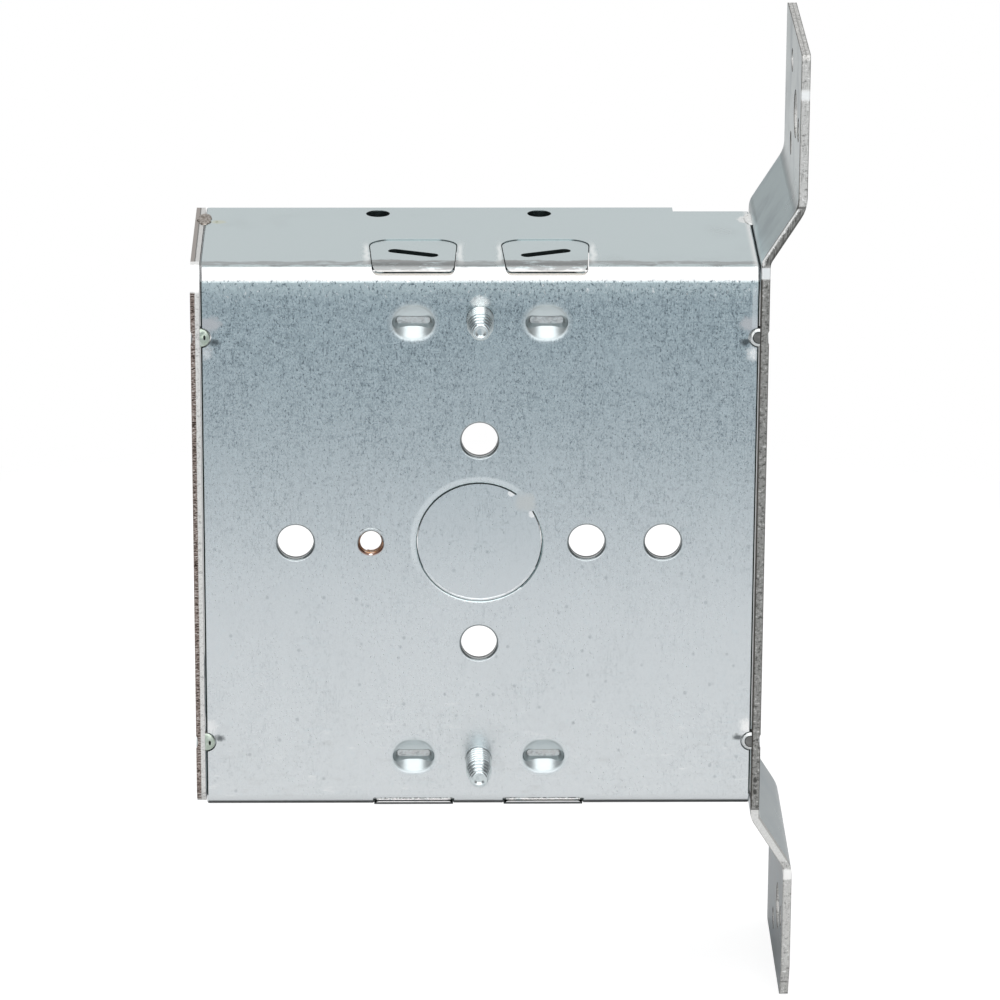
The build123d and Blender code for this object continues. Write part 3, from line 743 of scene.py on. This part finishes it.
def boxEdge(at, worn):  # blotchy grey along the right side of the box
    hue, grain = at.hue, at.grain
    edge = at.right * abs(at.z).fade(*at.zone["boxEdge"])
    worn = worn.tint(edge, hue["grey"]).tint(edge * grain.blot.fade(0.5, 0.64), hue["deep"])
    worn = worn.tint(edge * grain.blot.fade(0.44, 0.34) * 0.7, hue["pale"])
    worn = worn.tint(edge * grain.along.fade(0.56, 0.66) * 0.6, hue["deep"])
    return worn.tint(edge * at.through.fade(*at.zone["boxInner"]), hue["dark"])


def jogEdge(at, worn):  # pale and dark halves along the upper jog
    hue, zone, grain = at.hue, at.zone, at.grain
    edge = at.right * at.z.within(*zone["jogEdge"])
    worn = worn.tint(edge * at.ragged.fade(*zone["jogOuter"]), hue["grey"])
    worn = worn.tint(edge * grain.along.fade(0.42, 0.6) * at.outer.high(at.line), hue["deep"])
    return worn.tint(edge * at.inner * grain.crumb.fade(0.52, 0.6), hue["white"])


def earEdges(at, worn):  # pale blotches and streaks along both ears
    hue, grain = at.hue, at.grain
    edge = at.right * abs(at.z).fade(*at.zone["earEdge"])
    worn = worn.tint(edge * 0.3, hue["grey"]).tint(edge * grain.blot.fade(0.54, 0.66) * 0.7, hue["deep"])
    worn = worn.tint(edge * grain.blot.fade(0.44, 0.32) * 0.8, hue["white"])
    worn = worn.tint(edge * grain.along.fade(0.56, 0.66) * 0.7, hue["grey"])
    worn = worn.tint(edge * grain.across.fade(0.62, 0.7) * 0.6, hue["deep"])
    return worn.tint(edge * at.nz.fade(0.5, 0.8) * at.line * 0.7, hue["grey"])


def edgeMarks(at, worn):  # dark rims and bends, painted highlights, pressed marks
    hue, zone = at.hue, at.zone
    worn = worn.tint(at.right * at.rims * (0.45 + 0.35 * at.z.fade(*zone["rimHeight"])), hue["deep"])
    bends = at.z.within(*zone["upperBend"]).high(at.z.within(*zone["lowerBend"]))
    worn = worn.tint(at.right * bends * 0.85, hue["deep"])
    # painted highlights on the edge at the box corner and on the ears
    flash = at.z.within(*zone["boxGlint"]).high(at.z.within(*zone["lowGlint"]))
    at.flash = flash.high(at.z.within(*zone["highGlint"]))
    worn = worn.tint(at.right * at.flash * (1 - at.rims * 0.5), hue["white"])
    for spot in at.spots.values():
        pressed = (at.place.spot(*spot) + 0.7 * at.grain.crumb).fade(1.35, 0.8)
        worn = worn.tint(pressed, hue["deep"])
    return worn


def galvanizedPlate():
    material, start = newMaterial("galvanizedPlate")
    at = surface(start, plate)
    sheetDepth(at)
    worn = mixed(start, at.grain.crumb.fade(0.25, 0.75), at.hue["pale"], at.hue["dull"])
    for marks in (leftEdges, boxEdge, jogEdge, earEdges, edgeMarks):
        worn = marks(at, worn)
    colour = mixed(start, at.edge, plateFaces(at), worn)
    rough = plate["rough"] + 0.10 * at.grain.cloud + 0.25 * at.edge * (1 - at.flash)
    bump = at.grain.dimple * 0.6 + at.edge * at.grain.across * (0.6 + 0.9 * at.left)
    finishMaterial(start, metal(start, colour, rough, bump, plate["relief"]))
    return material


# weld beads over the seams' front ends: brown and lumpy on the left, pale spatter on the right
weld = {
    "seam": 49.1,
    "plateFace": 49.2,
    "along": 30.5,
    "wall": 50.8,
    "size": (1.35, 3.5, 0.5),
    "sink": 0.05,
    "flatten": 0.86,
    "narrow": 0.92,
    "ripple": 1.1,
    "rippleBow": 0.35,
    "rippleHeight": 0.10,
    "rippleEnd": 4,
    "lumpScale": 0.9,
    "lumpHeight": 0.10,
    "waverScale": 0.8,
    "waver": 0.22,
    "brown": (rgb(0.17, 0.14, 0.115), rgb(0.52, 0.48, 0.44)),
    "silver": (rgb(0.25, 0.23, 0.2), rgb(0.88, 0.89, 0.88)),
}


def weldMetal():
    material, start = newMaterial("weldMetal")
    place = placeInMillimetres(start)
    mottle = place.grain(1.5, 4.0, 0.7)
    brown = mixed(start, mottle.fade(0.4, 0.62), *weld["brown"])
    silver = mixed(start, mottle.fade(0.3, 0.45), *weld["silver"])
    colour = mixed(start, place.axes()[0].fade(-5, 5), brown, silver)
    finishMaterial(start, metal(start, colour, 0.32 + 0.2 * mottle, mottle, 0.06))
    return material


# weld nuggets in the panel's notches: greenish on the left with a dark pit, ringed on the right
nugget = {
    "hub": (49.0, 0.12, 38.1),
    "size": (1.62, 0.34, 1.66),
    "cut": 49.18,
    "lumpScale": 1.1,
    "lumpHeight": 0.45,
    "left": rgb(0.42, 0.49, 0.42),
    "leftPale": rgb(0.57, 0.62, 0.57),
    "right": rgb(0.64, 0.66, 0.66),
    "core": rgb(0.17, 0.17, 0.165),
    "pit": rgb(0.02, 0.024, 0.022),
    "pitSpot": ((48.35, 0, 38.2), (0.28, 0, 0.55)),
    "ring": (0.95, 1.1, 0.05),
}


def nuggetMetal():
    material, start = newMaterial("nuggetMetal")
    place = placeInMillimetres(start)
    x, y, z = place.axes()
    corner = start.add("ShaderNodeCombineXYZ", None, {0: abs(x), 1: 0.0, 2: abs(z)})
    mottle = place.grain(1.3, 4.0, 0.65)
    reach = corner.spot((nugget["hub"][0], 0, nugget["hub"][2]), (1, 0, 1)) + 0.25 * (mottle - 0.5)
    right = mixed(start, reach.fade(1.02, 0.95), nugget["right"], nugget["core"])
    right = right.tint(reach.within(*nugget["ring"]), nugget["pit"])
    pit = corner.spot(*nugget["pitSpot"]) + 0.6 * mottle
    left = mixed(start, mottle.fade(0.4, 0.7), nugget["left"], nugget["leftPale"])
    left = left.tint(pit.fade(1.25, 0.95), nugget["pit"])
    colour = mixed(start, x.fade(-5, 5), left, right)
    finishMaterial(start, metal(start, colour, 0.3, mottle, 0.05))
    return material


# clamp screws: rolled thread on the shank and its tapered end, the CAD's head
screw = {
    "axis": 41.6,
    "tips": {"upper": -7.9, "lower": -9.6},
    "length": 18.0,
    "overlap": 0.3,
    "crest": 2.35,
    "root": 1.74,
    "pitch": 25.4 / 24,
    "taper": 4.0,
    "end": 1.6,
    "cut": 0.25,
    "cup": ((0, 0.36), (0.35, 0.33), (0.7, 0.22), (0.98, 0.02), (1.06, 0), (1.24, 0),
            (1.38, 0.05), (1.5, 0.17), (1.56, 0.3), (1.2, 0.7), (0, 0.7)),
    "rootFlat": 0.12,
    "flank": 0.46,
    "steps": 56,
    "samples": 16,
    "bright": rgb(0.66, 0.72, 0.73),
    "dull": rgb(0.54, 0.60, 0.62),
    "rootShade": rgb(0.03, 0.035, 0.04),
}


def screwMetal():  # bright crests, painted shade in the thread roots at the sides
    material, start = newMaterial("zincScrew")
    place = placeInMillimetres(start)
    x, y, z = place.axes()
    mottle = place.grain(1.6, 4.0, 0.65)
    corner = start.add("ShaderNodeCombineXYZ", None, {0: x, 1: 0.0, 2: abs(z)})
    reach = corner.spot((0, 0, screw["axis"]), (1, 0, 1))
    low, high = screw["tips"]["lower"], screw["tips"]["upper"]
    fromTip = y - low - (high - low) * z.fade(-1, 1)
    crest = screw["end"] + (screw["crest"] - screw["end"]) * fromTip.slide(0, screw["taper"])
    colour = mixed(start, mottle.fade(0.42, 0.66), screw["bright"], screw["dull"])
    # painted shade in the thread roots, away from the top
    root = (crest - reach).fade(0.06, 0.22) * fromTip.fade(0.5, 0.7) * abs(x).fade(0.5, 1.0)
    colour = colour.tint(root * 0.92, screw["rootShade"])
    finishMaterial(start, metal(start, colour, 0.10 + 0.15 * mottle, mottle, 0.004))
    return material


def plainMetal(name, colour, spot, rough, scale, height):  # mottled metal for the small pieces
    material, start = newMaterial(name)
    place = placeInMillimetres(start)
    mottle = place.grain(scale, 4.0, 0.65)
    tone = mixed(start, mottle.fade(0.42, 0.66), colour, spot)
    finishMaterial(start, metal(start, tone, rough + 0.15 * mottle, mottle, height))
    return material


finishes = {
    "wrap": galvanizedWrap(),
    "plate": galvanizedPlate(),
    "clamp": plainMetal("zincClamp", rgb(0.60, 0.62, 0.62), rgb(0.70, 0.72, 0.73),
                        rough=0.28, scale=0.8, height=0.006),
    "screw": screwMetal(),
    "weld": weldMetal(),
    "nugget": nuggetMetal(),
    "rim": plainMetal("rolledZinc", rgb(0.72, 0.75, 0.76), rgb(0.60, 0.63, 0.65),
                      rough=0.22, scale=1.2, height=0.008),
    "thread": plainMetal("tappedSteel", rgb(0.45, 0.24, 0.13), rgb(0.62, 0.50, 0.42),
                         rough=0.25, scale=1.5, height=0.008),
}


def dress(node, finish):
    mesh = nodes[node].data
    mesh.materials.clear()
    mesh.materials.append(finishes[finish])


dressed = {
    "back_wrap": "wrap",
    "bracket_side_plate": "plate",
    "left_side_plate": "plate",
    "upper_cable_clamp": "clamp",
    "lower_cable_clamp": "clamp",
    "corner_welds": "weld",
    "upper_clamp_screw": "screw",
    "lower_clamp_screw": "screw",
}
for node, finish in dressed.items():
    dress(node, finish)
print("finishes on")


mergeGap = 1e-4  # millimetres


def newPiece(name, bm, finish, body, sharp=40):
    bmesh.ops.recalc_face_normals(bm, faces=bm.faces)
    for face in bm.faces:
        face.smooth = True
    for edge in bm.edges:
        edge.smooth = edge.calc_face_angle(0) < math.radians(sharp)
    mesh = bpy.data.meshes.new(name)
    bm.to_mesh(mesh)
    bm.free()
    mesh.materials.append(finishes[finish])
    piece = bpy.data.objects.new(name, mesh)
    scene.collection.objects.link(piece)
    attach(piece, body)
    return piece


def toMetres(bm):
    bmesh.ops.scale(bm, vec=(mm, mm, mm), verts=bm.verts)


def cutAway(bm, point, normal):  # everything on the normal's side goes, and the cut is closed
    geom = bm.verts[:] + bm.edges[:] + bm.faces[:]
    bmesh.ops.bisect_plane(bm, geom=geom, dist=1e-7, plane_co=point, plane_no=normal, clear_outer=True)
    bmesh.ops.holes_fill(bm, edges=[edge for edge in bm.edges if edge.is_boundary], sides=0)


def chain(bm, points):  # a few vertices joined by edges
    verts = [bm.verts.new(point) for point in points]
    return verts + [bm.edges.new(pair) for pair in zip(verts, verts[1:])]


# a roll of metal around the Y axis through a hub, as an elliptical tube
def rollRing(bm, hub, radius, size, first, turn, steps):
    ring = bmesh.ops.create_circle(bm, radius=1.0, segments=12)["verts"]
    bmesh.ops.scale(bm, vec=(size[0], size[1], 1), verts=ring)
    bmesh.ops.translate(bm, verts=ring, vec=Vector(hub) + Vector((radius, 0, 0)))
    bmesh.ops.rotate(bm, verts=ring, cent=hub, matrix=Matrix.Rotation(-math.radians(first), 3, "Y"))
    loop = list({edge for vert in ring for edge in vert.link_edges})
    bmesh.ops.spin(bm, geom=ring + loop, cent=hub, axis=(0, -1, 0), angle=math.radians(turn),
                   steps=steps, use_merge=turn == 360, use_duplicate=False)
    bmesh.ops.remove_doubles(bm, verts=bm.verts, dist=mergeGap)
    bmesh.ops.holes_fill(bm, edges=[edge for edge in bm.edges if edge.is_boundary], sides=0)


def threadRadius(turn):  # narrow flat at the root, wider at the crest, straight flanks between
    rise = 1 - abs(2 * (turn % 1) - 1)
    rise = min(max((rise - screw["rootFlat"]) / screw["flank"], 0), 1)
    return screw["root"] + (screw["crest"] - screw["root"]) * rise


def makeScrew(name, node, body, side):
    bm = bmesh.new()
    pitch, samples = screw["pitch"], screw["samples"]
    tip = screw["tips"][name]
    seat = tip + screw["length"]
    count = math.ceil((seat - tip) / pitch + 4) * samples
    profile = [(threadRadius(i / samples), tip + (i / samples - 2) * pitch, 0) for i in range(count)]
    geom = chain(bm, profile)
    bmesh.ops.spin(bm, geom=geom, cent=(0, 0, 0), axis=(0, 1, 0), dvec=(0, pitch / screw["steps"], 0),
                   angle=2 * math.pi, steps=screw["steps"], use_duplicate=False)
    bmesh.ops.remove_doubles(bm, verts=bm.verts, dist=mergeGap)
    cutAway(bm, (0, tip + screw["cut"], 0), (0, -1, 0))
    cutAway(bm, (0, seat + screw["overlap"], 0), (0, 1, 0))
    for vert in bm.verts:  # the tapered end
        share = min((vert.co.y - tip) / screw["taper"], 1)
        size = (screw["end"] + (screw["crest"] - screw["end"]) * share) / screw["crest"]
        vert.co.x *= size
        vert.co.z *= size
    geom = chain(bm, [(radius, tip + rise, 0) for radius, rise in screw["cup"]])  # the cupped end
    bmesh.ops.spin(bm, geom=geom, cent=(0, 0, 0), axis=(0, 1, 0), angle=2 * math.pi, steps=screw["steps"],
                   use_merge=True, use_duplicate=False)
    bmesh.ops.remove_doubles(bm, verts=bm.verts, dist=mergeGap)
    bmesh.ops.recalc_face_normals(bm, faces=bm.faces)
    bmesh.ops.translate(bm, verts=bm.verts, vec=(0, 0, side * screw["axis"]))
    toMetres(bm)
    shank = bpy.data.meshes.new("shank")
    bm.to_mesh(shank)
    bm.clear()
    bm.from_mesh(nodes[node].data)
    bmesh.ops.remove_doubles(bm, verts=bm.verts, dist=1e-6)
    cutAway(bm, (0, seat * mm, 0), (0, -1, 0))
    bm.from_mesh(shank)
    bpy.data.meshes.remove(shank)
    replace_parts(newPiece(name + "ThreadedScrew", bm, "screw", body), node)


for side, name in ((1, "upper"), (-1, "lower")):
    makeScrew(name, name + "_clamp_screw", name + "_screw", side)
print("screws threaded")


def makeBeads():
    bm = bmesh.new()
    for wall in (1, -1):
        for side in (1, -1):
            part = bmesh.new()
            bmesh.ops.create_icosphere(part, subdivisions=5, radius=1.0)
            bmesh.ops.scale(part, vec=weld["size"], verts=part.verts)
            for vert in part.verts:  # ripples along the bead, lumps all over
                seed = Vector((side * 9, wall * 5, 3))
                lump = weld["lumpHeight"] * noise.noise(vert.co * weld["lumpScale"] + seed)
                bowed = vert.co.y - weld["rippleBow"] * vert.co.x**2
                wave = weld["rippleHeight"] * math.cos(2 * math.pi * bowed / weld["ripple"])
                vert.co.z *= weld["flatten"] + wave * (1 - abs(vert.co.y) / weld["rippleEnd"]) + lump
                vert.co.x *= weld["narrow"] + weld["waver"] * noise.noise(vert.co * weld["waverScale"] - seed)
            shift = (side * weld["seam"], weld["along"], weld["wall"])
            bmesh.ops.translate(part, verts=part.verts, vec=shift)
            cutAway(part, (0, 0, weld["wall"] - weld["sink"]), (0, 0, -1))
            if side > 0:  # the right plate stands up beside its bead
                cutAway(part, (weld["plateFace"], 0, 0), (1, 0, 0))
            bmesh.ops.scale(part, vec=(1, 1, wall), verts=part.verts)
            bmesh.ops.recalc_face_normals(part, faces=part.faces)
            bead = bpy.data.meshes.new("bead")
            part.to_mesh(bead)
            part.free()
            bm.from_mesh(bead)
            bpy.data.meshes.remove(bead)
    toMetres(bm)
    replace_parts(newPiece("weldBeads", bm, "weld", "box"), "corner_welds")


makeBeads()
print("welds laid")


def makeNuggets():  # lumpy half domes in the panel's notches
    bm = bmesh.new()
    for side in (1, -1):
        for end in (1, -1):
            part = bmesh.new()
            bmesh.ops.create_icosphere(part, subdivisions=4, radius=1.0)
            bmesh.ops.scale(part, vec=nugget["size"], verts=part.verts)
            for vert in part.verts:
                seed = Vector((side * 4, 0, end * 7))
                vert.co.y *= 1 + nugget["lumpHeight"] * noise.noise(vert.co * nugget["lumpScale"] + seed)
            hub = Vector((nugget["hub"][0], nugget["hub"][1], end * nugget["hub"][2]))
            bmesh.ops.translate(part, verts=part.verts, vec=hub)
            cutAway(part, (nugget["cut"], 0, 0), (1, 0, 0))
            bmesh.ops.scale(part, vec=(side, 1, 1), verts=part.verts)
            bmesh.ops.recalc_face_normals(part, faces=part.faces)
            lump = bpy.data.meshes.new("lump")
            part.to_mesh(lump)
            part.free()
            bm.from_mesh(lump)
            bpy.data.meshes.remove(lump)
    toMetres(bm)
    newPiece("stakeNuggets", bm, "nugget", "box", 60)


makeNuggets()

# burr along the knockout's line, standing up at the bottom of the disc
lip = {
    "radius": 10.83,
    "size": (0.22, 0.12),
    "first": 205.0,
    "turn": 130.0,
    "steps": 90,
    "taper": 2.4,
    "least": 0.06,
    "lumpScale": 0.8,
}


def makeKnockoutLip():
    bm = bmesh.new()
    rollRing(bm, (0, 0, 0), lip["radius"], lip["size"], lip["first"], lip["turn"], lip["steps"])
    for vert in bm.verts:
        low = max(0, 1 - lip["taper"] * (1 + vert.co.z / lip["radius"]))  # tapers off at both ends
        lump = 0.8 + 0.5 * noise.noise(vert.co * lip["lumpScale"])
        vert.co.y *= lip["least"] + (1 - lip["least"]) * low**0.5 * lump
    toMetres(bm)
    newPiece("knockoutLip", bm, "rim", "box", 60)


makeKnockoutLip()

# collar raised around the ground hole when it was pierced
collar = {
    "hub": (-19.3, 0.02, 0),
    "radius": 2.52,
    "size": (0.36, 0.14),
    "first": 32,
    "turn": 116,
    "steps": 48,
    "riseFrom": 0.5,
    "riseOver": 0.45,
    "sink": 0.08,
}


def makeCollar():
    bm = bmesh.new()
    hub, radius = collar["hub"], collar["radius"]
    rollRing(bm, hub, radius, collar["size"], collar["first"], collar["turn"], collar["steps"])
    for vert in bm.verts:  # highest at the top, running out at both ends
        rise = min(max((vert.co.z / radius - collar["riseFrom"]) / collar["riseOver"], 0.0), 1)
        vert.co.y = hub[1] + (vert.co.y - hub[1]) * rise + collar["sink"] * (1 - rise)
    toMetres(bm)
    newPiece("groundCollar", bm, "wrap", "box", 60)


makeCollar()

# thread in the ground hole
ground = {
    "across": -19.3,
    "outer": 2.14,
    "inner": 1.86,
    "pitch": 0.79375,
    "ridge": 0.42,
    "first": 0.32,
    "turns": 1.3,
    "steps": 40,
}


def makeGroundThread():
    bm = bmesh.new()
    width = ground["pitch"] * ground["ridge"]
    ring = bmesh.ops.create_circle(bm, radius=1.0, segments=6)["verts"]
    bmesh.ops.scale(bm, vec=((ground["outer"] - ground["inner"]), width, 1), verts=ring)
    bmesh.ops.translate(bm, verts=ring, vec=(ground["outer"], ground["first"], 0))
    loop = list({edge for vert in ring for edge in vert.link_edges})
    steps = round(ground["turns"] * ground["steps"])
    bmesh.ops.spin(bm, geom=ring + loop, cent=(0, 0, 0), axis=(0, 1, 0), angle=2 * math.pi * ground["turns"],
                   dvec=(0, ground["pitch"] / ground["steps"], 0), steps=steps, use_duplicate=False)
    bmesh.ops.holes_fill(bm, edges=[edge for edge in bm.edges if edge.is_boundary], sides=0)
    bmesh.ops.translate(bm, verts=bm.verts, vec=(ground["across"], 0, 0))
    toMetres(bm)
    newPiece("groundThread", bm, "thread", "box", 60)


makeGroundThread()
print("nuggets, lip, collar and ground thread made")

scene.view_settings.view_transform = "Standard"
